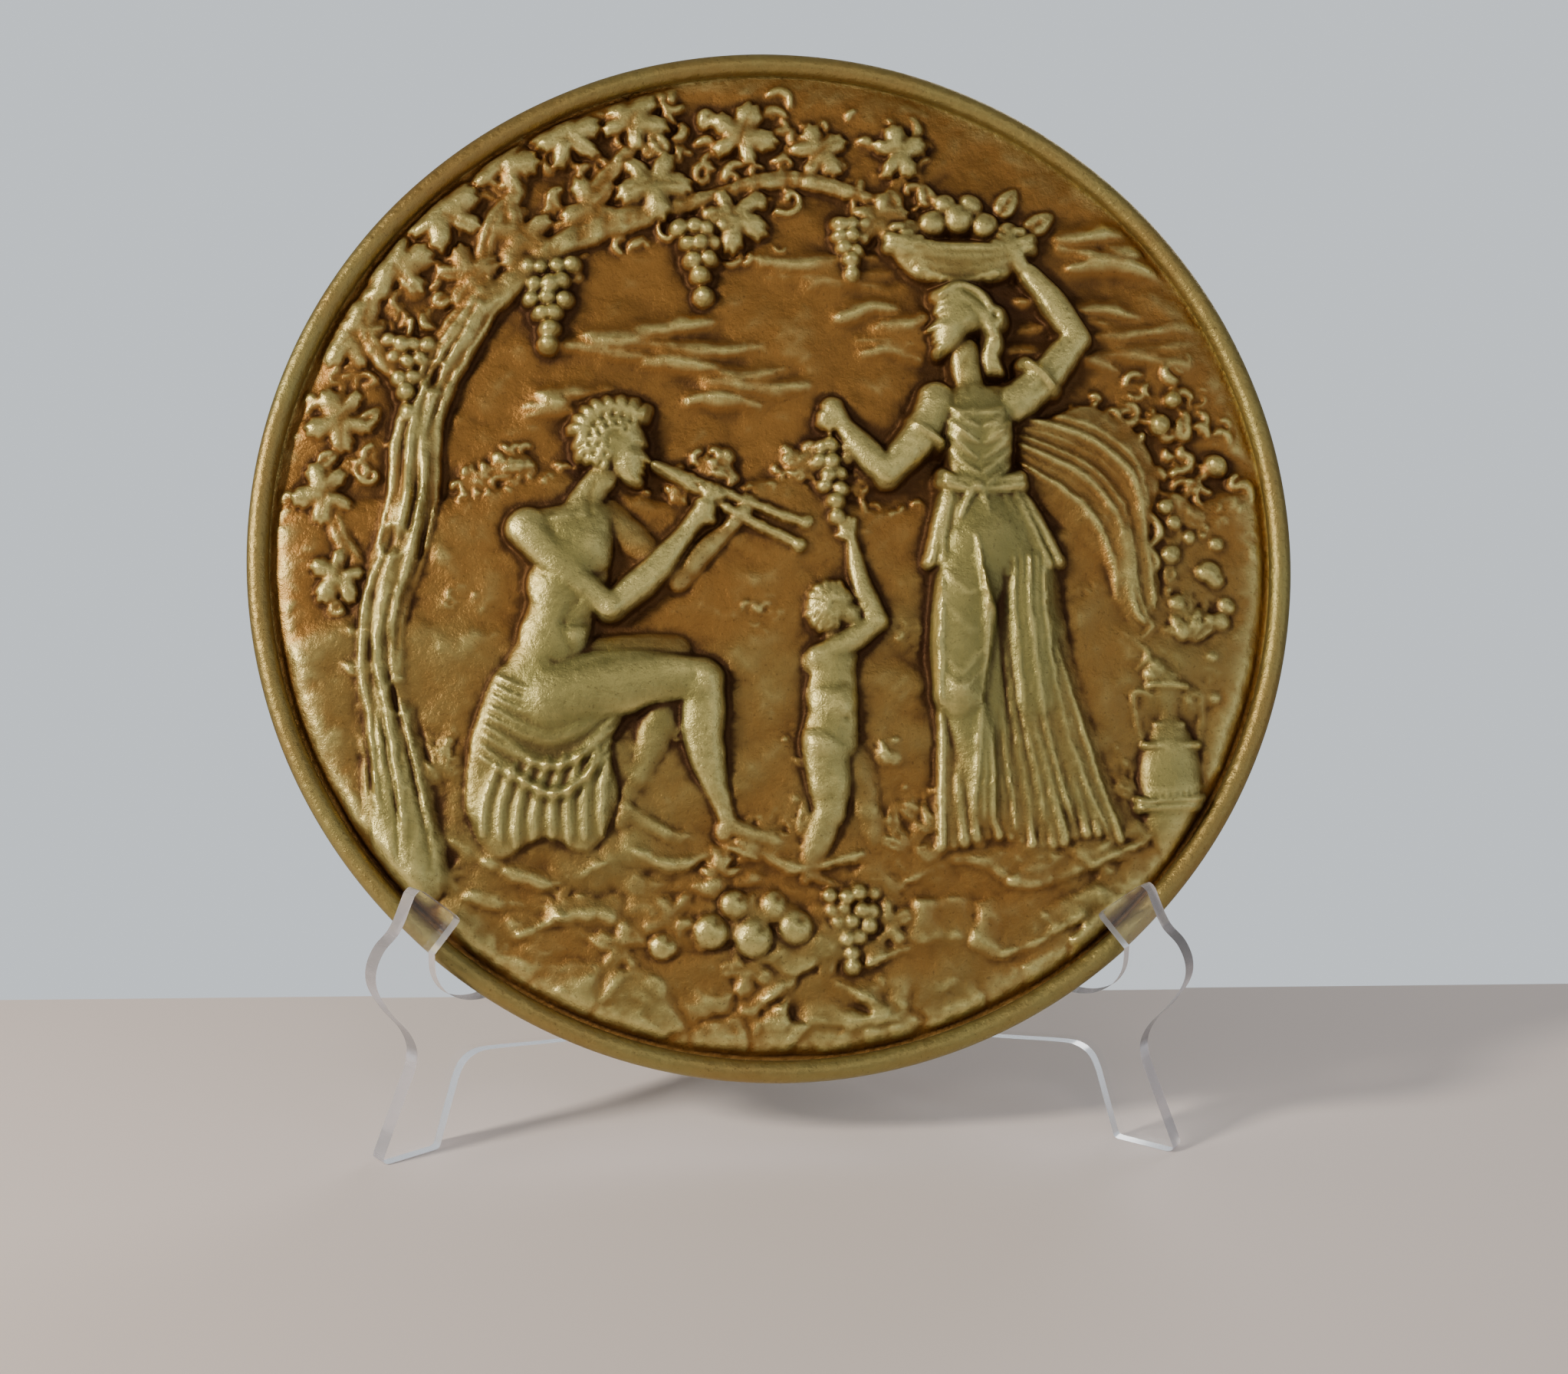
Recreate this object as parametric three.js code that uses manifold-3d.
// A round bronze relief plaque, leaning in a two-part clear acrylic plate easel. Millimetres, +Z up, front to -Y.
//
// The relief shows a harvest scene: a seated piper under a vine, a child reaching for a bunch of grapes and a
// woman who holds it out, with a fruit basket on her head. It is carved as a height field over the plaque's face:
// u runs to the right, v up, and heights stand out of the face. Each figure is a set of named joints, joined by
// limbs of a given muscle profile, and every measure of a figure follows from the height of its head.
import * as THREE from 'three';
import { mergeVertices } from 'three/addons/utils/BufferGeometryUtils.js';
import Module from 'manifold-3d';

// ---------------------------------------------------------------- sizes
const plaque = {
  radius: 150, // outside of the rim
  bead: 3.1, // radius of the round rim moulding
  beadHeight: 1, // how far the bead's middle stands in front of the ground
  wall: 4, // metal behind the ground of the relief
  flange: 5, // depth of the turned-back edge behind the ground
  flangeWidth: 8,
  lean: 18, // degrees back from upright
  lowest: 18.5, // the rim's lowest point above the table
  setBack: 53, // how far the middle of the face stands behind the front feet
  sides: 88,
};
const easel = {
  thick: 5.5, // the acrylic sheet
  turn: 38, // degrees from the plaque's face to each sheet
  crossing: 140, // from a sheet's front foot to the half-lap joint
  gap: 0.3, // clearance in the joint
};
const head = 22; // height of an adult's head, which sets every other size of the figures
const childHead = 15.5;

// Radii of a limb from its upper to its lower end, in heads
const thigh = [0.4, 0.43, 0.41, 0.34, 0.27];
const calf = [0.25, 0.285, 0.25, 0.18, 0.125];
const upperArm = [0.225, 0.235, 0.21, 0.17];
const foreArm = [0.16, 0.185, 0.155, 0.105];

// ---------------------------------------------------------------- height field
const half = 150; // half the side of the square that is carved
const cells = 256; // a power of two
const row = cells + 1;
const step = (2 * half) / cells;
const empty = -9;
const shoulder = 0.9; // share of a bar's radius where its round top turns into its wall

const field = () => new Float32Array(row * row).fill(empty);
const blend = (a, b, k) => Math.max(a, b) + Math.max(k - Math.abs(a - b), 0) ** 2 / (4 * k);
const mix = (a, b, t) => a + (b - a) * t;
const polar = ([u, v], r, degrees) => {
  const a = THREE.MathUtils.degToRad(degrees);
  return [u + r * Math.cos(a), v + r * Math.sin(a)];
};

// Calls act(index, u, v) for each grid point of a box.
function overBox(low, high, act) {
  const at = (x) => Math.min(Math.max((x + half) / step, 0), cells);
  for (let j = Math.floor(at(low[1])); j <= Math.ceil(at(high[1])); j++)
    for (let i = Math.floor(at(low[0])); i <= Math.ceil(at(high[0])); i++)
      act(j * row + i, i * step - half, j * step - half);
}

// A run of tapered round bars through points; radii and the heights of their axes may be lists.
function chain(f, points, radii, heights, { flat = 0.6, soft = 1.5, wall = 2.5 } = {}) {
  const side = Math.sqrt(1 - shoulder ** 2);
  const pick = (list, i) => (Array.isArray(list) ? list[i] : list);
  for (let i = 0; i + 1 < points.length; i++) {
    const [p, q] = [points[i], points[i + 1]];
    const [r0, r1] = [pick(radii, i), pick(radii, i + 1)];
    const [z0, z1] = [pick(heights, i), pick(heights, i + 1)];
    const [du, dv] = [q[0] - p[0], q[1] - p[1]];
    const pad = Math.max(r0, r1) + 5;
    const low = [Math.min(p[0], q[0]) - pad, Math.min(p[1], q[1]) - pad];
    const high = [Math.max(p[0], q[0]) + pad, Math.max(p[1], q[1]) + pad];
    overBox(low, high, (n, u, v) => {
      const along = ((u - p[0]) * du + (v - p[1]) * dv) / Math.max(du * du + dv * dv, 1e-9);
      const t = Math.min(Math.max(along, 0), 1);
      const away = Math.hypot(u - p[0] - t * du, v - p[1] - t * dv);
      const r = mix(r0, r1, t);
      const x = away / r;
      const top = mix(z0, z1, t) + flat * r * Math.sqrt(Math.max(1 - x * x, side * side));
      f[n] = blend(f[n], x < shoulder ? top : top - wall * (away - shoulder * r), soft);
    });
  }
}

// The value of a list of numbers at t from 0 to 1, smoothly.
function along(list, t) {
  const x = t * (list.length - 1);
  const i = Math.min(Math.floor(x), list.length - 2);
  const [a, b, c, d] = [list[Math.max(i - 1, 0)], list[i], list[i + 1], list[Math.min(i + 2, list.length - 1)]];
  const s = x - i;
  return 0.5 * (2 * b + (c - a) * s + (2 * a - 5 * b + 4 * c - d) * s * s + (3 * b - a - 3 * c + d) * s ** 3);
}

const curve = (points, count) =>
  Array.from({ length: count + 1 }, (_, i) => [0, 1].map((k) => along(points.map((p) => p[k]), i / count)));

// A limb from p to q, bowed sideways by a share of its length.
function limb(f, p, q, radii, z0, z1, { bow = 0, scale = head, ...form } = {}) {
  const count = 4 * (radii.length - 1);
  const [du, dv] = [q[0] - p[0], q[1] - p[1]];
  const ts = Array.from({ length: count + 1 }, (_, i) => i / count);
  const path = ts.map((t) => {
    const out = bow * Math.sin(Math.PI * t);
    return [p[0] + t * du - out * dv, p[1] + t * dv + out * du];
  });
  const own = field();
  chain(own, path, ts.map((t) => scale * along(radii, t)), ts.map((t) => mix(z0, z1, t)), { ...form, soft: 0.25 });
  for (let n = 0; n < f.length; n++) if (own[n] > empty) f[n] = blend(f[n], own[n], form.soft ?? 1.5);
}

// A ridge along a curve, thin at its ends: folds, stems, furrows.
function ridge(f, points, r, z, { ends = [0.35, 0.3], flat = 0.9, soft = 0.5, wall = 2 } = {}) {
  const count = 5 * (points.length - 1);
  const width = (t) => {
    const end = mix(ends[0], ends[1], t);
    return r * (end + (1 - end) * Math.sin(Math.PI * t) ** 0.8);
  };
  const radii = Array.from({ length: count + 1 }, (_, i) => width(i / count));
  chain(f, curve(points, count), radii, z, { flat, soft, wall });
}

// A flat region inside a closed curve, with a rounded edge that rises over a width.
function plate(f, outline, z, rise, width, { soft = 0.6, wall = 2.5 } = {}) {
  const shape = new THREE.CatmullRomCurve3(outline.map(([u, v]) => new THREE.Vector3(u, v, 0)), true, 'catmullrom');
  const o = shape.getPoints(5 * outline.length).slice(1);
  const low = [0, 1].map((k) => Math.min(...o.map((p) => p.getComponent(k))) - 5);
  const high = [0, 1].map((k) => Math.max(...o.map((p) => p.getComponent(k))) + 5);
  overBox(low, high, (n, u, v) => {
    let [near, inside] = [Infinity, false];
    for (let i = 0, j = o.length - 1; i < o.length; j = i++) {
      const [du, dv] = [o[j].x - o[i].x, o[j].y - o[i].y];
      const t = ((u - o[i].x) * du + (v - o[i].y) * dv) / (du * du + dv * dv);
      const s = Math.min(Math.max(t, 0), 1);
      near = Math.min(near, Math.hypot(u - o[i].x - s * du, v - o[i].y - s * dv));
      if (o[i].y > v !== o[j].y > v && u < (du * (v - o[i].y)) / dv + o[i].x) inside = !inside;
    }
    const x = Math.min(near / width, 1);
    f[n] = blend(f[n], inside ? z + rise * Math.sqrt(1 - (1 - x) ** 2) : z - wall * near, soft);
  });
}

// A soft swelling, or a hollow where amount is below zero.
function swell(f, [cu, cv], r, amount) {
  overBox([cu - 3 * r, cv - 3 * r], [cu + 3 * r, cv + 3 * r], (n, u, v) => {
    f[n] += amount * Math.exp(-((u - cu) ** 2 + (v - cv) ** 2) / (r * r));
  });
}

// Lays the layers on the relief one over another, each with its own soft join.
function lay(relief, soft, ...carvers) {
  for (const carve of carvers) {
    const layer = field();
    carve(layer);
    for (let n = 0; n < relief.length; n++) relief[n] = blend(relief[n], layer[n], soft);
  }
}

// Rounds off the field, as wax is smoothed before casting.
function soften(f, passes) {
  for (let pass = 0; pass < passes; pass++)
    for (const stride of [1, row]) {
      const old = f.slice();
      for (let n = row; n < f.length - row; n++) f[n] = (old[n - stride] + 2 * old[n] + old[n + stride]) / 4;
    }
}

// ---------------------------------------------------------------- parts of the figures
const ball = (f, [u, v], r, z, form) => chain(f, [[u, v], [u + 0.01, v]], r, z, { flat: 0.8, soft: 0.3, ...form });

function foot(f, ankle, toe, z, scale = head) {
  const heel = [ankle[0] - Math.sign(toe[0] - ankle[0]) * 0.06 * scale, ankle[1] - 0.16 * scale];
  chain(f, [ankle, heel], 0.125 * scale, z, { flat: 0.7, soft: 0.8 });
  chain(f, [ankle, toe], [0.13 * scale, 0.08 * scale], z, { flat: 0.7, soft: 0.8 });
}

function hand(f, wrist, tips, z, scale = head) {
  chain(f, [wrist, tips], [0.11 * scale, 0.12 * scale], z, { flat: 0.8, soft: 0.6 });
}

// A head in profile, looking to the right (face 1) or left (face -1), with the chin raised by tilt degrees.
function profile(f, middle, face, tilt, z, scale = head) {
  const a = THREE.MathUtils.degToRad(tilt);
  const put = (x, y) => [
    middle[0] + face * scale * (x * Math.cos(a) - y * Math.sin(a)),
    middle[1] + scale * (x * Math.sin(a) + y * Math.cos(a)),
  ];
  const form = { flat: 0.45, soft: 1.2 };
  chain(f, [put(-0.08, 0.1), put(0, 0.12)], 0.38 * scale, z, form); // skull
  chain(f, [put(0.1, 0.1), put(0.17, -0.3)], [0.24 * scale, 0.19 * scale], z + 0.9, form); // face and jaw
  chain(f, [put(0.29, 0.06), put(0.37, -0.11)], [0.05 * scale, 0.07 * scale], z + 0.7, { soft: 0.5 }); // nose
  chain(f, [put(0.29, -0.2), put(0.3, -0.28)], 0.075 * scale, z + 0.4, { soft: 0.5 }); // mouth
  ball(f, put(0.27, -0.41), 0.1 * scale, z + 0.3, { flat: 0.6, soft: 0.8 }); // chin
  return put;
}

// A cap of short curls from the brow to the nape.
function curls(f, put, z, scale = head) {
  for (const [ring, count] of [[0.43, 9], [0.3, 6]])
    for (let i = 0; i < count; i++) {
      const a = THREE.MathUtils.degToRad(mix(60, 238, i / (count - 1)));
      const at = put(-0.07 + ring * Math.cos(a), 0.09 + ring * Math.sin(a));
      ball(f, at, 0.1 * scale, z - 3 * (ring - 0.3), { flat: 0.5 });
    }
}

// ---------------------------------------------------------------- plants and fruit
// A leaf of five lobes about its stalk, size being the length of its middle lobe.
function vineLeaf(f, at, size, turn, z) {
  for (const [angle, length] of [[0, 1], [58, 0.85], [-58, 0.85], [122, 0.6], [-122, 0.6]]) {
    const tip = polar(at, size * length, turn + angle);
    chain(f, [at, polar(at, size * 0.5 * length, turn + angle), tip], [0.2 * size, 0.27 * size, 0.05 * size], z, {
      flat: 0.35,
      soft: 0.5,
    });
  }
}

function grapes(f, [u, v], length, width, z, berry) {
  const rows = Math.round(length / (berry * 1.6));
  for (let i = 0; i < rows; i++) {
    const t = i / (rows - 1);
    const spread = width * (1 - t) ** 0.7;
    const count = Math.max(1, Math.round((2 * spread) / (berry * 1.75)));
    for (let j = 0; j < count; j++) {
      const x = (j - (count - 1) / 2) * berry * 1.75;
      ball(f, [u + x, v - t * length], berry, z + 1.5 * (1 - Math.abs(x) / (spread + berry)));
    }
  }
}

function grass(f, [u, v], blades, length) {
  for (let i = 0; i < blades; i++) {
    const a = 90 + (i - (blades - 1) / 2) * 18;
    const root = [u + (i - blades / 2) * 0.9, v];
    const tip = polar(root, length, a + (a - 90) * 0.5);
    ridge(f, [root, polar(root, length * 0.55, a), tip], 1, 1.8, { ends: [1, 0.2] });
  }
}

const vine = {
  trunk: [[-104, -90], [-108, -60], [-113, -25], [-105, 12], [-101, 44], [-86, 72]],
  trunkRadii: [13, 10, 8.6, 8.2, 7.4, 6],
  branches: [
    { path: [[-88, 68], [-60, 92], [-18, 106]], r: 4.2 },
    { path: [[-100, 44], [-118, 62], [-112, 84]], r: 3.4 },
    { path: [[-60, 92], [-52, 108], [-40, 122]], r: 2.8 },
    { path: [[-18, 106], [6, 112], [34, 104]], r: 2.6 },
    { path: [[-84, 72], [-84, 92], [-74, 108]], r: 3.2 },
    { path: [[-110, -20], [-124, 4], [-128, 26]], r: 3 },
  ],
  // where each leaf grows, its size and the way it points
  leaves: [
    [-122, 62, 12, 150], [-110, 82, 13, 100], [-96, 98, 13, 120], [-124, 38, 11, 200], [-80, 114, 12, 80],
    [-60, 122, 11, 110], [-74, 94, 12, 250], [-42, 128, 11, 60], [-36, 110, 12, 280], [-52, 102, 11, 200],
    [-10, 124, 11, 70], [-12, 100, 11, 260], [12, 120, 10, 30], [30, 100, 10, 300], [36, 120, 9, 20],
    [-90, 80, 11, 30], [-128, 16, 10, 190], [-124, -8, 9, 230],
  ],
  bunches: [[-66, 84, 24, 8.5, 2.4], [-22, 96, 20, 7.5, 2.3], [-106, 60, 20, 7, 2.3], [22, 98, 16, 6.5, 2.1]],
};

// ---------------------------------------------------------------- the setting
function landscape(relief) {
  const hill = (crest, foot, z, rise) => (f) =>
    plate(f, [...crest, [crest.at(-1)[0], foot], [crest[0][0], foot]], z, rise, 9, { soft: 1, wall: 0.6 });
  lay(
    relief,
    1,
    hill(
      [[-145, 6], [-90, 16], [-60, 24], [-30, 14], [0, 22], [30, 12], [60, 20], [100, 8], [145, 16]],
      -60, 0.1, 1,
    ),
    hill([[-145, -30], [-90, -20], [-40, -30], [0, -22], [50, -34], [100, -20], [145, -30]], -120, 0.4, 1.4),
    hill(
      [[-140, -60], [-100, -66], [-60, -72], [-20, -78], [20, -80], [60, -74], [100, -66], [140, -40]],
      -135, 1, 2,
    ),
  );
  lay(relief, 0.8, (f) => {
    for (let i = 0; i < 16; i++) {
      // boulders of the bank under the figures
      const at = polar([0, 12], 124 + 8 * Math.sin(5 * i), -150 + 8 * i);
      chain(f, [at, polar(at, 9 + 4 * Math.sin(3 * i), 8 * i - 70)], 5 + 2 * Math.sin(7 * i), 0.8, { flat: 0.5 });
    }
    for (let i = 0; i < 7; i++) {
      // streaks of cloud
      const [u, v] = [92 + 12 * Math.sin(4 * i), 92 - 9 * i];
      ridge(f, [[u - 14, v], [u - 3, v + 2], [u + 5, v - 1.5], [u + 13, v + 1]], 3, 0.5, { flat: 0.55, wall: 1 });
    }
  });
}

function tree(relief) {
  lay(relief, 0.6, (f) => {
    const count = 20;
    const radii = Array.from({ length: count + 1 }, (_, i) => along(vine.trunkRadii, i / count));
    chain(f, curve(vine.trunk, count), radii, 0.2, { flat: 0.5 });
    for (const { path, r } of vine.branches) ridge(f, path, r, 0.8, { ends: [0.9, 0.5], flat: 0.6, soft: 1 });
  });
  lay(
    relief,
    0.4,
    (f) => vine.leaves.forEach(([u, v, size, turn], i) => vineLeaf(f, [u, v], size, turn, 1 + 0.5 * (i % 3))),
    (f) => vine.bunches.forEach(([u, v, length, width, berry]) => grapes(f, [u, v], length, width, 1.8, berry)),
  );
}

// A leafy bush with berries by the right rim.
function bush(relief) {
  lay(relief, 0.5, (f) => {
    for (let i = 0; i < 60; i++) {
      const at = polar([0, 0], 112 + 9 * Math.sin(2.4 * i), -52 + 1.25 * i);
      ball(f, at, i % 3 ? 3.6 : 2.6, i % 3 ? 0.3 : 1.8, { flat: 0.6, soft: 0.6 });
    }
  });
}

function amphora(relief) {
  const u = 112;
  const wall = [
    [-94, 4.2], [-87, 4.6], [-78, 8.6], [-68, 10.2], [-60, 9.6], [-54, 7], [-50, 4.2], [-44, 3.6], [-39, 6],
  ];
  lay(relief, 0.3, (f) => {
    chain(f, wall.map(([v]) => [u, v]), wall.map(([, r]) => r), 1.4, { flat: 0.45, soft: 0.3 });
    for (const side of [-1, 1])
      ridge(f, [[u + side * 4, -42], [u + side * 10, -42], [u + side * 8, -58]], 1.3, 2, { ends: [0.8, 0.8] });
  });
}

// Fruit and leaves in the foreground.
function stillLife(relief) {
  const leaves = [
    [-30, -104, 10, 200], [14, -112, 10, 330], [-10, -118, 9, 260], [30, -106, 8, 20], [-44, -112, 9, 160],
  ];
  const fruit = [
    [-20, -108, 5.4], [-8, -110, 6], [4, -107, 5.2], [-13, -101, 4.6], [-2, -101, 4.4], [-33, -112, 4.2],
  ];
  const tufts = [[-28, -86, 10], [34, -92, 12], [72, -96, 13], [-60, -106, 14], [52, -108, 12], [124, -44, 12]];
  lay(
    relief,
    0.35,
    (f) => leaves.forEach(([u, v, size, turn]) => vineLeaf(f, [u, v], size, turn, 1.6)),
    (f) => fruit.forEach(([u, v, r]) => ball(f, [u, v], r, 2, { flat: 0.7 })),
    (f) => grapes(f, [20, -98], 20, 7.5, 2, 2.2),
    (f) => tufts.forEach(([u, v, length]) => grass(f, [u, v], 6, length)),
  );
}

// ---------------------------------------------------------------- the figures
function piper(relief) {
  const joint = {
    shoulder: [-70, 4], elbow: [-48, -17], wrist: [-25, 7], fingers: [-19, 15],
    farShoulder: [-50, 12], farElbow: [-29, -9], farWrist: [-13, 8], farFingers: [-9, 14],
    hip: [-64, -43], knee: [-22, -37], ankle: [-15, -76], toe: [6, -85],
    farHip: [-66, -40], farKnee: [-30, -30], farAnkle: [-44, -72], farToe: [-26, -82],
    neck: [-58, 9], chin: [-50, 22], head: [-45.5, 29.5], mouth: [-35.5, 24.5],
  };
  const seat = [
    [-88, -54], [-80, -47], [-62, -50], [-44, -50], [-34, -58], [-35, -70], [-30, -84], [-40, -96], [-66, -99],
    [-90, -94], [-97, -74],
  ];
  const cloth = [
    [-80, -36], [-70, -29], [-58, -30], [-48, -27], [-41, -30], [-42, -44], [-48, -56], [-46, -72], [-54, -86],
    [-66, -82], [-80, -88], [-88, -72], [-86, -52],
  ];
  lay(
    relief,
    0.3,
    (f) => plate(f, seat, 0.6, 2.6, 9, { soft: 1, wall: 1.6 }),
    (f) => {
      limb(f, joint.farShoulder, joint.farElbow, upperArm, 0.6, 0.9, { bow: -0.02, flat: 0.55 });
      limb(f, joint.farElbow, joint.farWrist, foreArm, 0.9, 1.6, { bow: 0.02, flat: 0.55 });
      limb(f, joint.farHip, joint.farKnee, thigh, 0.8, 1, { bow: 0.05, flat: 0.5 });
      limb(f, joint.farKnee, joint.farAnkle, calf, 1.2, 1.6, { bow: 0.05, flat: 0.5 });
      foot(f, joint.farAnkle, joint.farToe, 2.2);
      hand(f, joint.farWrist, joint.farFingers, 2.4);
    },
    (f) => {
      const form = { flat: 0.42, soft: 3 };
      chain(f, [[-67, -38], [-64, -26], [-60, -14]], [0.58 * head, 0.47 * head, 0.45 * head], 1.7, form);
      chain(f, [[-60, -10], [-57, 3]], [0.54 * head, 0.48 * head], 2, form);
      chain(f, [[-70, 6], [-52, 9]], [0.27 * head, 0.25 * head], [2.9, 2], form);
      swell(f, [-53, 1], 5, 1.1);
      swell(f, [-55, -22], 5, 0.8);
      limb(f, joint.neck, joint.chin, [0.25, 0.21, 0.2], 2.4, 2.4, { flat: 0.5, soft: 2 });
    },
    (f) => curls(f, profile(f, joint.head, 1, -8, 2.6), 5.2),
    (f) => {
      limb(f, joint.hip, joint.knee, [0.5, 0.48, 0.42, 0.33, 0.27], 3.2, 4.4, { bow: 0.05, flat: 0.52, soft: 2 });
      limb(f, joint.knee, joint.ankle, calf, 4.2, 2.6, { bow: -0.06, flat: 0.58 });
      foot(f, joint.ankle, joint.toe, 2.4);
    },
    (f) => {
      plate(f, cloth, 3.4, 1.8, 6, { wall: 2.2 });
      swell(f, [-63, -43], 11, 2);
      for (let i = 0; i < 5; i++) {
        const [front, back] = [[-43 - 1.5 * i, -32 - 8 * i], [-79 - 2 * i, -38 - 10 * i]];
        ridge(f, [front, [mix(front[0], back[0], 0.4), front[1] - 8], back], 1.6, 5.8 - 0.3 * i);
      }
    },
    (f) => {
      for (const end of [[8, 8.5], [6, 1.5]]) {
        chain(f, [joint.mouth, end], [0.9, 1.4], [3.6, 2.6], { flat: 0.9, soft: 0.3 });
        ball(f, end, 2, 2.6);
      }
    },
    (f) => {
      chain(f, [[-71, 6], joint.shoulder], [0.28 * head, 0.25 * head], 4, { flat: 0.5, soft: 2 });
      limb(f, joint.shoulder, joint.elbow, upperArm, 4.4, 5.2, { bow: -0.03 });
      limb(f, joint.elbow, joint.wrist, foreArm, 5, 3.6, { bow: -0.04 });
      hand(f, joint.wrist, joint.fingers, 3.8);
    },
  );
}

function woman(relief) {
  const joint = {
    shoulder: [46.5, 42], elbow: [31, 23], wrist: [19, 38], fingers: [15, 39],
    farShoulder: [69.5, 44], farElbow: [88, 64], farWrist: [72, 86], farFingers: [66, 93],
    neck: [57.5, 44], chin: [55, 59], head: [53, 68.5], waist: [59, 18],
    knee: [51, -41], ankle: [58, -76], farKnee: [73, -42],
  };
  const skirt = [
    [48, 16], [60, 18], [73, 16], [80, 2], [84, -26], [92, -56], [99, -78], [92, -84], [80, -80], [68, -85],
    [56, -81], [45, -84], [44, -60], [46, -30], [44, -4],
  ];
  const mantle = [
    [68, 46], [78, 40], [92, 44], [106, 36], [112, 22], [108, 4], [114, -16], [108, -30], [100, -18], [92, -2],
    [84, 6], [72, 20],
  ];
  const bowl = [[33, 93], [36, 86], [43, 81], [54, 79], [65, 81], [72, 86], [75, 93], [54, 91]];
  const fruit = [
    [39, 96, 3.6], [46, 98, 4.2], [54, 99.5, 4.6], [62, 98, 4], [69, 96, 3.6], [50, 104, 3.4], [58, 104, 3.6],
  ];
  lay(
    relief,
    0.35,
    (f) => {
      plate(f, mantle, 1, 1.6, 6, { wall: 2 });
      for (let i = 0; i < 4; i++) {
        const t = i / 3;
        const blown = [
          [70, 42 - 14 * t], [88 - 2 * t, 38 - 22 * t], [104 - 8 * t, 26 - 26 * t], [108 - 8 * t, -26 * t],
        ];
        ridge(f, blown, 1.9, 2.2);
      }
    },
    (f) => {
      plate(f, skirt, 1.4, 3, 9, { soft: 0.8, wall: 2.2 });
      limb(f, [70, -4], joint.farKnee, [0.42, 0.42, 0.36, 0.3], 2.4, 2, { flat: 0.42, soft: 3 });
      limb(f, [56, -2], joint.knee, [0.44, 0.45, 0.4, 0.33], 3.6, 4.6, { bow: -0.03, flat: 0.45, soft: 3 });
      limb(f, joint.knee, joint.ankle, [0.27, 0.27, 0.22, 0.16], 4, 2.4, { bow: 0.04, flat: 0.5, soft: 3 });
      chain(f, [[60, 6], [59, 16]], [0.6 * head, 0.46 * head], 2.6, { flat: 0.42, soft: 3 });
      chain(f, [[59, 24], [58, 38]], [0.44 * head, 0.5 * head], 2.8, { flat: 0.42, soft: 3 });
      chain(f, [[47, 43], [68, 44]], 0.25 * head, 2.6, { flat: 0.5, soft: 3 });
      swell(f, [52, 34.5], 4.4, 1.7);
      swell(f, [64.5, 35], 4.4, 1.7);
      limb(f, joint.neck, joint.chin, [0.24, 0.2, 0.2], 2.8, 2.8, { flat: 0.5, soft: 2 });
    },
    (f) => {
      // folds from the hip to the hem, beside the leg that shows through the cloth
      for (let i = 0; i < 9; i++) {
        const t = i / 8;
        const hem = [45.5 + 51 * t, -83];
        const top = t > 0.1 && t < 0.4 ? [50 + 12 * t, -48] : [47 + 27 * t, 0];
        const middle = [mix(top[0], hem[0], 0.42), mix(top[1], hem[1], 0.45)];
        ridge(f, [top, middle, hem], 1.9, 3.5, { ends: [0.3, 0.95] });
      }
      // the overfold that swings below the girdle
      for (let i = 0; i < 8; i++) {
        const t = i / 7;
        const hem = [43.5 + 37 * t, -1 - 5 * Math.sin(Math.PI * t)];
        const height = 5.6 - 1.2 * Math.abs(t - 0.45);
        ridge(f, [[48.5 + 22 * t, 18], [46 + 30 * t, 9], hem], 1.8, height, { ends: [0.5, 0.9] });
      }
      ridge(f, [[48.5, 19.5], [58, 17.5], [70.5, 19.5]], 1.5, 5.8, { ends: [0.9, 0.9] });
      for (const v of [41, 34])
        for (const side of [-1, 1])
          ridge(f, [[58.5 + side * 11, v + 3], [58.5 + side * 5, v - 3], [58.5, v - 6]], 1.2, 5.2);
    },
    (f) => {
      const put = profile(f, joint.head, -1, -4, 3);
      const band = [put(0.24, 0.3), put(0, 0.42), put(-0.3, 0.28), put(-0.42, 0.05)];
      ridge(f, band, 0.12 * head, 4.8, { ends: [0.7, 0.7] });
      ridge(f, [put(-0.1, 0.28), put(-0.3, 0.12), put(-0.4, -0.05)], 0.12 * head, 5, { ends: [0.7, 0.7] });
      ball(f, put(-0.46, -0.02), 0.14 * head, 4.4);
      ridge(f, [put(-0.4, -0.06), put(-0.44, -0.32), put(-0.4, -0.66)], 0.07 * head, 4.2, { ends: [0.9, 0.4] });
    },
    (f) => {
      foot(f, [55, -80], [39, -87], 2);
      foot(f, [84, -80], [97, -86], 1.4);
    },
    (f) => {
      chain(f, [[47, 44], [45, 41]], [0.25 * head, 0.22 * head], 3.8, { flat: 0.5, soft: 2 });
      limb(f, joint.shoulder, joint.elbow, upperArm, 4, 4.4, { bow: 0.04 });
      limb(f, joint.elbow, joint.wrist, foreArm, 4.4, 3.2, { bow: 0.04 });
      hand(f, joint.wrist, joint.fingers, 3.4);
    },
    (f) => grapes(f, [16, 31], 21, 6.6, 1.8, 2.2),
    (f) => {
      chain(f, [[69, 44], [72, 45]], [0.25 * head, 0.22 * head], 3.6, { flat: 0.5, soft: 2 });
      limb(f, joint.farShoulder, joint.farElbow, upperArm, 3.8, 3.4, { bow: -0.04 });
      limb(f, joint.farElbow, joint.farWrist, foreArm, 3.6, 3, { bow: -0.05 });
    },
    (f) => fruit.forEach(([u, v, r]) => ball(f, [u, v], r, 1.6, { flat: 0.75 })),
    (f) => {
      plate(f, bowl, 2.2, 2.6, 6, { soft: 0.5, wall: 2.2 });
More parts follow.
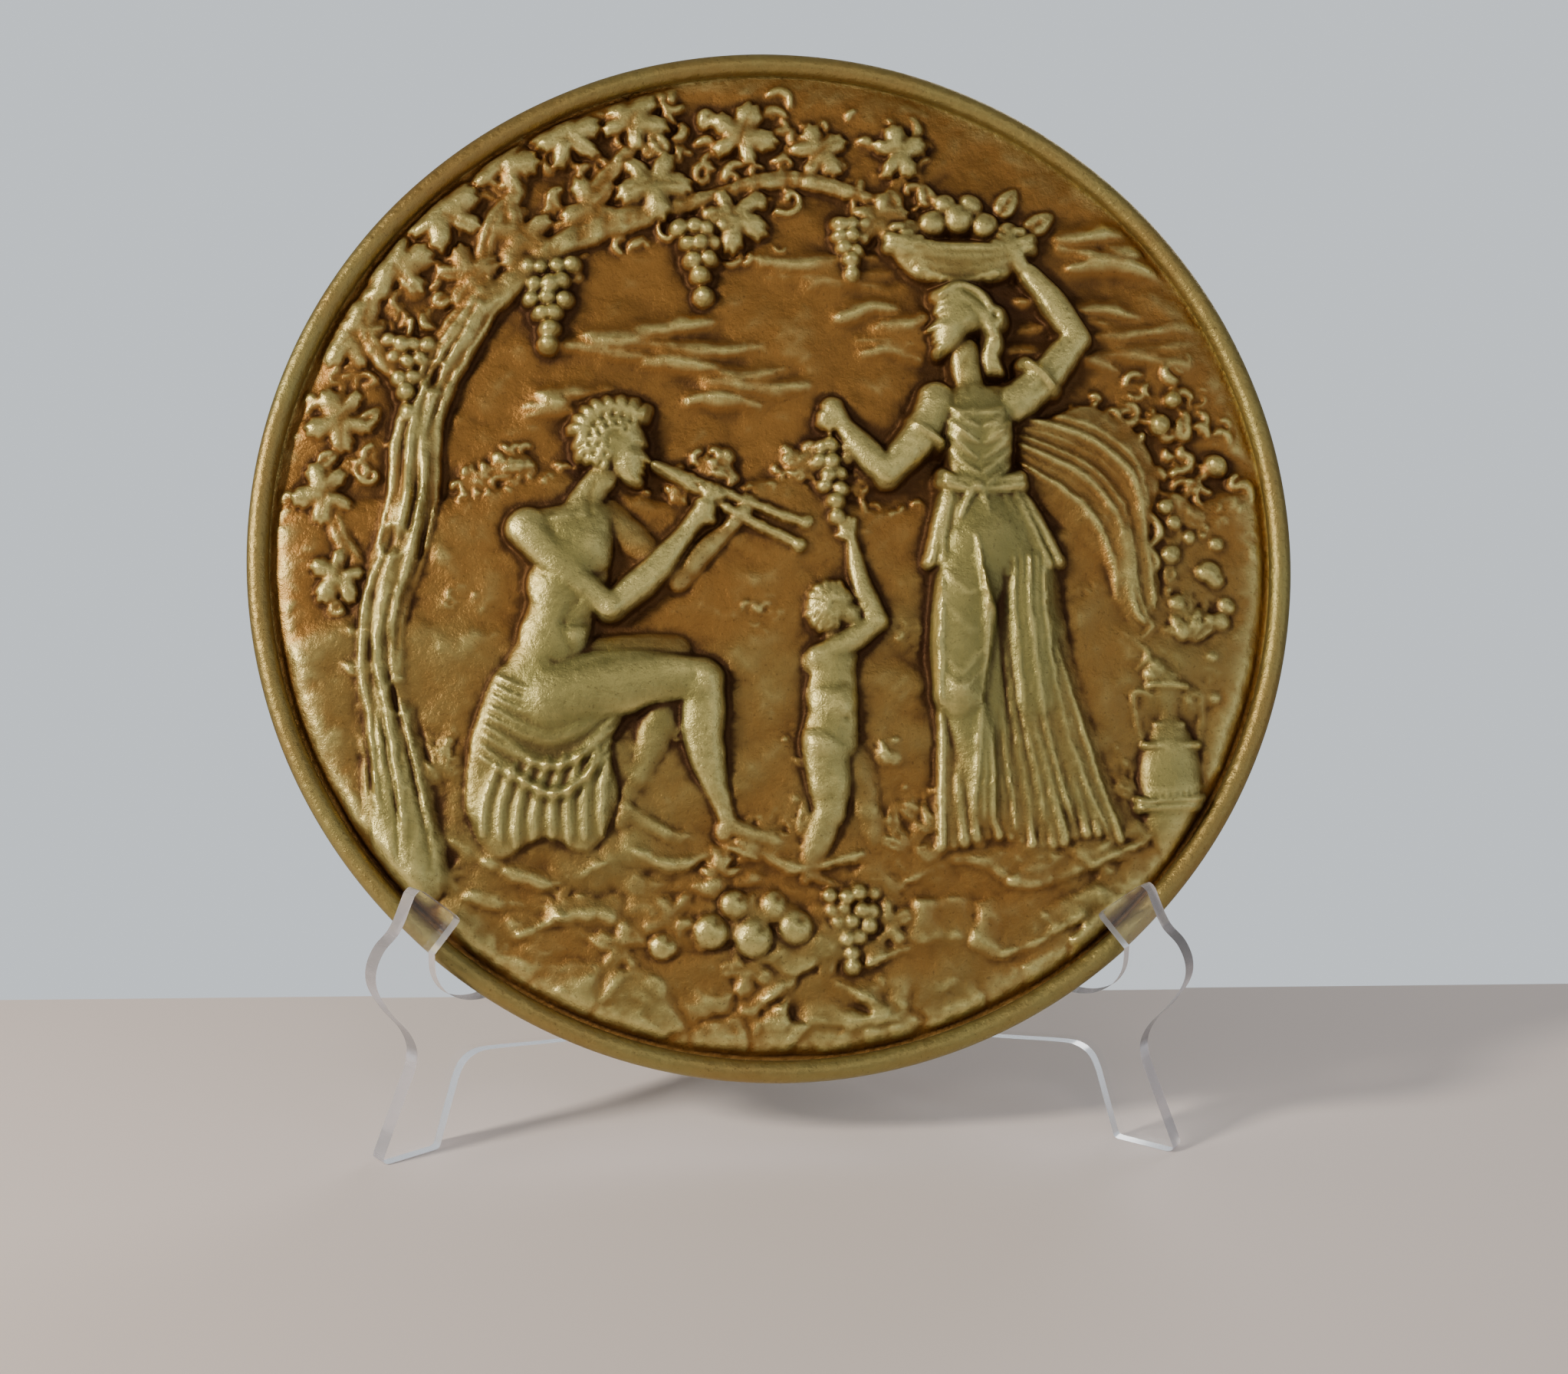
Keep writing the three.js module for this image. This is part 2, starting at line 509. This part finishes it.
      ridge(f, [[33, 93.5], [44, 91], [54, 90.4], [64, 91], [75, 93.5]], 1.7, 4.4, { ends: [0.9, 0.9] });
      hand(f, joint.farWrist, joint.farFingers, 3.6);
    },
  );
}

function child(relief) {
  const h = childHead;
  const own = { scale: h };
  lay(
    relief,
    0.3,
    (f) => {
      limb(f, [17, -56], [24, -73], [0.4, 0.4, 0.3], 0.8, 1, { ...own, bow: 0.06, flat: 0.5 });
      limb(f, [24, -73], [28, -88], [0.26, 0.28, 0.17], 1, 1, { ...own, bow: 0.04, flat: 0.5 });
      foot(f, [28, -88], [38, -92], 1.2, h);
    },
    (f) => {
      chain(f, [[14, -55], [15, -46]], [0.56 * h, 0.5 * h], 2, { flat: 0.5, soft: 3 });
      chain(f, [[15, -42], [15.5, -34]], [0.52 * h, 0.46 * h], 2.2, { flat: 0.5, soft: 3 });
      chain(f, [[10, -32], [19, -31]], 0.26 * h, 2.4, { flat: 0.5, soft: 2 });
      swell(f, [19, -47], 4.4, 1.2);
      swell(f, [10.5, -57], 4.6, 1.2);
      limb(f, [12, -57], [14, -75], [0.42, 0.42, 0.3], 2.8, 3, { ...own, bow: 0.05, flat: 0.55, soft: 2 });
      limb(f, [14, -75], [8, -91], [0.27, 0.29, 0.17], 3, 2, { ...own, bow: -0.05, flat: 0.55 });
      foot(f, [8, -91], [18, -96], 2, h);
      limb(f, [15.5, -30], [16.5, -24], [0.24, 0.22], 2.4, 2.4, { ...own, flat: 0.5 });
    },
    (f) => curls(f, profile(f, [17.5, -17.5], 1, 24, 2.8, h), 4.8, h),
    (f) => {
      limb(f, [11, -31], [28, -20], [0.22, 0.23, 0.19], 3.6, 3.6, { ...own, bow: -0.06 });
      limb(f, [28, -20], [21, 2], [0.19, 0.2, 0.12], 3.6, 2.6, { ...own, bow: 0.04 });
      hand(f, [21, 2], [19.5, 8], 2.8, h);
    },
  );
}

// ---------------------------------------------------------------- from height field to mesh
// Right-angled triangles, halved until each stands within tolerance of the field. A triangle has the corners a, b
// and c, with its right angle at c, and is halved at the middle of its long side.
function triangulate(relief, tolerance) {
  const error = new Float64Array(row * row);
  const halves = (ax, ay, bx, by) => (ax + bx) % 2 === 0 && (ay + by) % 2 === 0;
  const squares = [[0, 0, cells, cells, cells, 0], [cells, cells, 0, 0, 0, cells]];
  let changed = true;
  // the error of a triangle is the most of its own, its halves' and its neighbour's on the long side
  const measure = (ax, ay, bx, by, cx, cy) => {
    if (!halves(ax, ay, bx, by)) return 0;
    const [mx, my] = [(ax + bx) / 2, (ay + by) / 2];
    const middle = my * row + mx;
    const own = Math.abs(relief[middle] - (relief[ay * row + ax] + relief[by * row + bx]) / 2);
    const most = Math.max(error[middle], own, measure(cx, cy, ax, ay, mx, my), measure(bx, by, cx, cy, mx, my));
    changed ||= most > error[middle];
    error[middle] = most;
    return most;
  };
  while (changed) {
    changed = false;
    squares.forEach((corners) => measure(...corners));
  }
  const ids = new Map();
  const positions = [];
  const index = [];
  const id = (x, y) => {
    const key = y * row + x;
    if (!ids.has(key)) {
      ids.set(key, positions.length / 3);
      positions.push(x * step - half, y * step - half, relief[key]);
    }
    return ids.get(key);
  };
  const emit = (ax, ay, bx, by, cx, cy) => {
    const [mx, my] = [(ax + bx) / 2, (ay + by) / 2];
    if (halves(ax, ay, bx, by) && error[my * row + mx] > tolerance) {
      emit(cx, cy, ax, ay, mx, my);
      emit(bx, by, cx, cy, mx, my);
    } else index.push(id(ax, ay), id(cx, cy), id(bx, by));
  };
  squares.forEach((corners) => emit(...corners));
  return { positions, index };
}

// The carved face as a closed slab, down to a flat back.
function slab(relief, tolerance, back) {
  const { positions, index } = triangulate(relief, tolerance);
  const edges = new Map();
  for (let i = 0; i < index.length; i += 3)
    for (let k = 0; k < 3; k++) {
      const [a, b] = [index[i + k], index[i + ((k + 1) % 3)]];
      edges.set(`${a},${b}`, [a, b]);
    }
  const rim = [...edges.values()].filter(([a, b]) => !edges.has(`${b},${a}`));
  const under = new Map();
  for (const [a] of rim) {
    under.set(a, positions.length / 3);
    positions.push(positions[3 * a], positions[3 * a + 1], back);
  }
  const middle = positions.length / 3;
  positions.push(0, 0, back);
  for (const [a, b] of rim) {
    index.push(b, a, under.get(a), b, under.get(a), under.get(b));
    index.push(under.get(b), under.get(a), middle);
  }
  const geometry = new THREE.BufferGeometry();
  geometry.setAttribute('position', new THREE.Float32BufferAttribute(positions, 3));
  return geometry.setIndex(index);
}

// ---------------------------------------------------------------- solids
const wasm = await Module();
wasm.setup();

function solid(geometry) {
  const bare = geometry.clone();
  bare.deleteAttribute('normal');
  bare.deleteAttribute('uv');
  const merged = mergeVertices(bare, 1e-4);
  return new wasm.Manifold(
    new wasm.Mesh({
      numProp: 3,
      vertProperties: merged.attributes.position.array,
      triVerts: new Uint32Array(merged.index.array),
    }),
  );
}

function geometryOf(manifold) {
  const made = manifold.getMesh();
  const geometry = new THREE.BufferGeometry();
  geometry.setAttribute('position', new THREE.BufferAttribute(new Float32Array(made.vertProperties), 3));
  geometry.setIndex(new THREE.BufferAttribute(new Uint32Array(made.triVerts), 1));
  const shaded = geometry.toNonIndexed();
  shaded.computeVertexNormals();
  return shaded;
}

// A ring or disc turned about the plaque's axis, from a closed profile of [radius, height].
function turned(outline) {
  const points = [...outline, outline[0]].map(([r, z]) => new THREE.Vector2(r, z));
  return new THREE.LatheGeometry(points, plaque.sides).rotateX(Math.PI / 2);
}

// The ground dips to a soft groove along the rim, and the relief dies away into it.
function sink(relief) {
  const edge = plaque.radius - 2 * plaque.bead;
  return relief.map((height, i) => {
    const away = Math.hypot((i % (cells + 1)) * step - half, Math.floor(i / (cells + 1)) * step - half);
    const share = THREE.MathUtils.clamp((away - edge + 6) / 5, 0, 1) ** 2;
    return mix(height, Math.min(height, -0.5), share);
  });
}

function makeRelief() {
  const relief = field().fill(0);
  for (const carve of [landscape, tree, bush, amphora, woman, child, piper, stillLife]) carve(relief);
  soften(relief, 2);
  return sink(relief);
}

function makePlaque() {
  const { radius, bead, beadHeight, wall, flange, flangeWidth } = plaque;
  const carved = solid(slab(makeRelief(), 0.7, -wall));
  const disc = solid(turned([[0, -wall], [radius - bead, -wall], [radius - bead, 30], [0, 30]]));
  const round = Array.from({ length: 9 }, (_, i) => {
    const a = THREE.MathUtils.degToRad(-50 + 33 * i);
    return [radius - bead + bead * Math.cos(a), beadHeight + bead * Math.sin(a)];
  });
  const inner = radius - flangeWidth;
  const ring = solid(turned([[radius - 1, -flange], ...round, [inner - 0.5, 0.2 - wall], [inner, -flange]]));
  return geometryOf(carved.intersect(disc).add(ring));
}

// ---------------------------------------------------------------- the easel
// One sheet, seen from its side: s runs back from the front foot, z up. It has a hook that holds the rim, an
// arched arm to the back and an upright that the plaque leans on.
function easelOutline() {
  const shape = new THREE.Shape();
  const spline = (...points) => shape.splineThru(points.map(([s, z]) => new THREE.Vector2(s, z)));
  // front foot and the arch behind it
  shape.moveTo(1.5, 0);
  shape.lineTo(16.5, 0);
  spline([17.6, 0.5], [18.3, 2.2]);
  shape.lineTo(24, 18.5);
  spline([26.2, 22.4], [30, 24.6], [36, 24.6], [56, 21.5], [90, 16.5], [118, 11]);
  spline([126, 9.5], [131, 5.5], [133, 1.5], [135, 0]);
  // back foot and the arm over the arch
  shape.lineTo(154, 0);
  spline([156, 1.5], [155, 12], [151, 24], [142, 32], [126, 36], [98, 41], [71, 46]);
  // upright behind the plaque
  spline([63, 50], [61.5, 57], [65, 69], [77, 95], [87, 117]);
  spline([86.5, 120.5], [81, 122.5], [76.2, 119.5], [60.6, 88], [47, 62], [42, 52.5], [40.2, 46]);
  // cradle for the rim
  spline([38.4, 42.4], [34.5, 40.4], [29.5, 40.4], [24.5, 42], [20.2, 45.2], [17.6, 50], [17.2, 56]);
  // hook in front of it, with a blunt end
  shape.lineTo(24.4, 62.8);
  spline([25.3, 64.2], [24.5, 65.6]);
  shape.lineTo(14.6, 74);
  spline([12.8, 74.6], [11.2, 73.4]);
  shape.lineTo(8, 66.8);
  spline([5.8, 63.6], [1.6, 60], [-0.9, 55], [-0.6, 49.5], [3.3, 42.5], [8.8, 35.6], [11.1, 29.8], [10.4, 24.5]);
  shape.lineTo(0.2, 2.4);
  spline([0, 0.8], [1.5, 0]);
  return shape;
}

// A sheet of the left side, from the front left foot to the back.
function makeEasel(slotOnTop) {
  const { thick, turn, crossing, gap } = easel;
  const angle = THREE.MathUtils.degToRad(turn);
  const sheet = new THREE.ExtrudeGeometry(easelOutline(), { depth: thick, bevelEnabled: false, curveSegments: 2 });
  sheet.translate(-crossing, 0, -thick / 2).rotateX(Math.PI / 2);
  // a slot of half the height where the other sheet passes: from the top in one, from the foot in the other
  const slot = new THREE.BoxGeometry(60, thick + 2 * gap, 40);
  slot.rotateZ(Math.PI - 2 * angle).translate(0, 0, slotOnTop ? 36 - gap / 2 : -4 + gap / 2);
  const cut = solid(sheet).subtract(solid(slot));
  const geometry = geometryOf(cut);
  geometry.rotateZ(angle);
  geometry.translate(0, crossing * Math.sin(angle), 0);
  return geometry;
}

// ---------------------------------------------------------------- the part
const bronze = new THREE.MeshStandardMaterial({ color: 0x7d6b42, roughness: 0.42, metalness: 0.85 });
const acrylic = new THREE.MeshStandardMaterial({
  color: 0xe6eef0,
  roughness: 0.06,
  metalness: 0,
  transparent: true,
  opacity: 0.35,
});

const standing = new THREE.Group();

const leaning = new THREE.Group();
const lean = THREE.MathUtils.degToRad(plaque.lean);
leaning.rotation.x = Math.PI / 2 - lean;
leaning.position.set(0, plaque.setBack, plaque.lowest + plaque.radius * Math.cos(lean));
const face = new THREE.Mesh(makePlaque(), bronze);
face.name = 'relief_plaque';
leaning.add(face);

const left = new THREE.Mesh(makeEasel(true), acrylic);
left.name = 'easel_left';
const right = new THREE.Mesh(makeEasel(false), acrylic);
right.name = 'easel_right';
right.scale.x = -1; // the mirror of the left sheet
standing.add(leaning, left, right);

// The origin lies at the middle of the base, halfway between the foremost and hindmost points.
const bounds = new THREE.Box3().setFromObject(standing, true);
standing.position.y = -(bounds.min.y + bounds.max.y) / 2;

const part = new THREE.Group();
part.name = 'relief_plaque_on_easel';
part.add(standing);

export default part;
